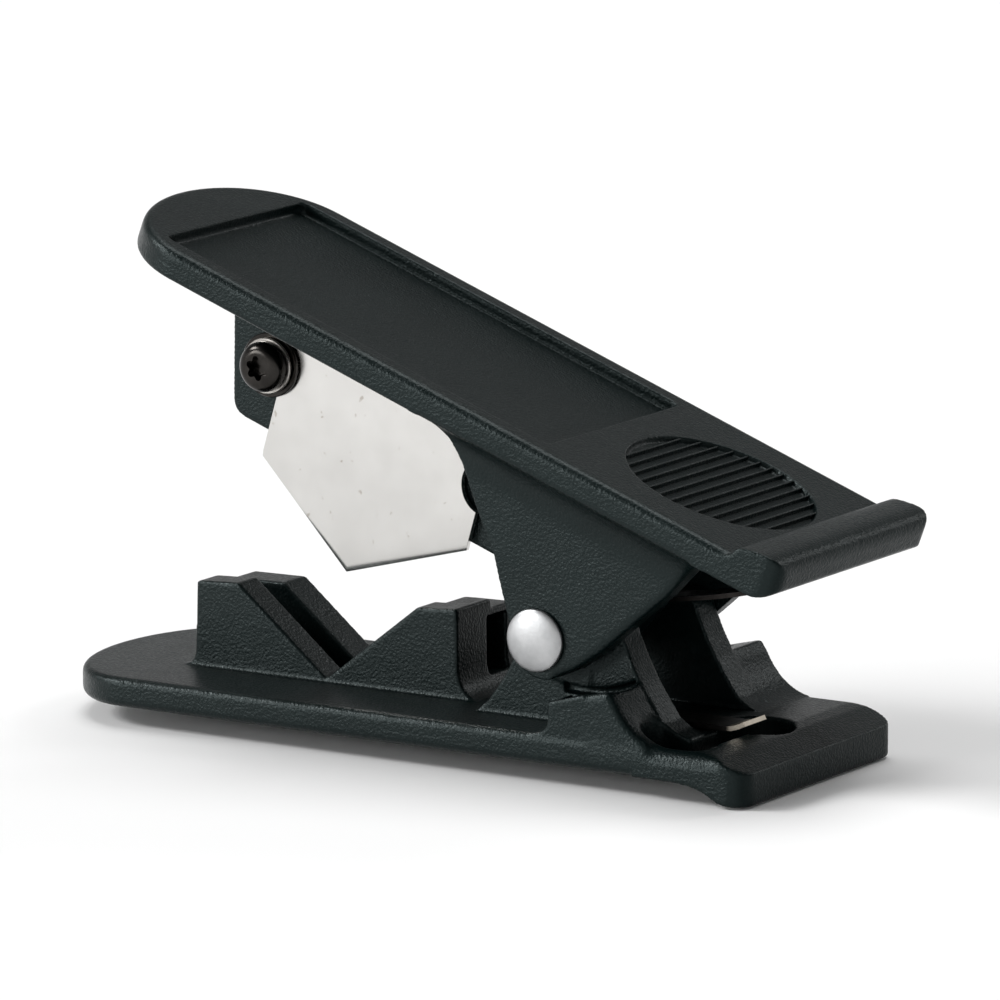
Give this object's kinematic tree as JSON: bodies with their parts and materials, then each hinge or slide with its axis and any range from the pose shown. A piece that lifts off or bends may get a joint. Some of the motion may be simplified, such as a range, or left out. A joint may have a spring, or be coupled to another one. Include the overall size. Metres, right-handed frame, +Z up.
{
  "type": "plastic tube cutter",
  "caption": "Hand-held pliers-type cutter for soft plastic tube: a hinged lever carries a V-pointed steel blade down into a slotted V-shaped tube seat on the base.",
  "frame": {"origin": "middle of the object's outline on the surface it lies on", "axes": "+X from the noses of the jaws to their rear ends, +Y across the tool away from the screw head, +Z up"},
  "size_m": [0.095, 0.0324, 0.0569],
  "materials": {
    "black_plastic": "near-black moulded plastic with a fine grain",
    "black_plastic_lever": "near-black moulded plastic with a fine grain",
    "blade_steel": "bright polished blade steel with ground bevels",
    "black_steel": "black oxide",
    "washer_steel": "plain spring steel",
    "rivet_aluminium": "satin",
    "spring_steel": "dark strip with a bright cut end"
  },
  "bodies": {
    "base": {"base": "black_plastic", "pivot_rivet": "rivet_aluminium", "leaf_spring": "spring_steel"},
    "lever": {"lever": "black_plastic_lever", "blade": "blade_steel", "blade_screw": "black_steel", "lock_washer": "washer_steel", "flat_washer": "black_steel", "screw_nut": "black_steel"}
  },
  "joints": [
    {"name": "lever_pivot", "type": "hinge", "parent": "base", "child": "lever", "pos_m": [0.0154, 0, 0.0147], "axis": [0, 1, 0], "range_deg": [-22, 0], "deforming": ["leaf_spring"]}
  ]
}
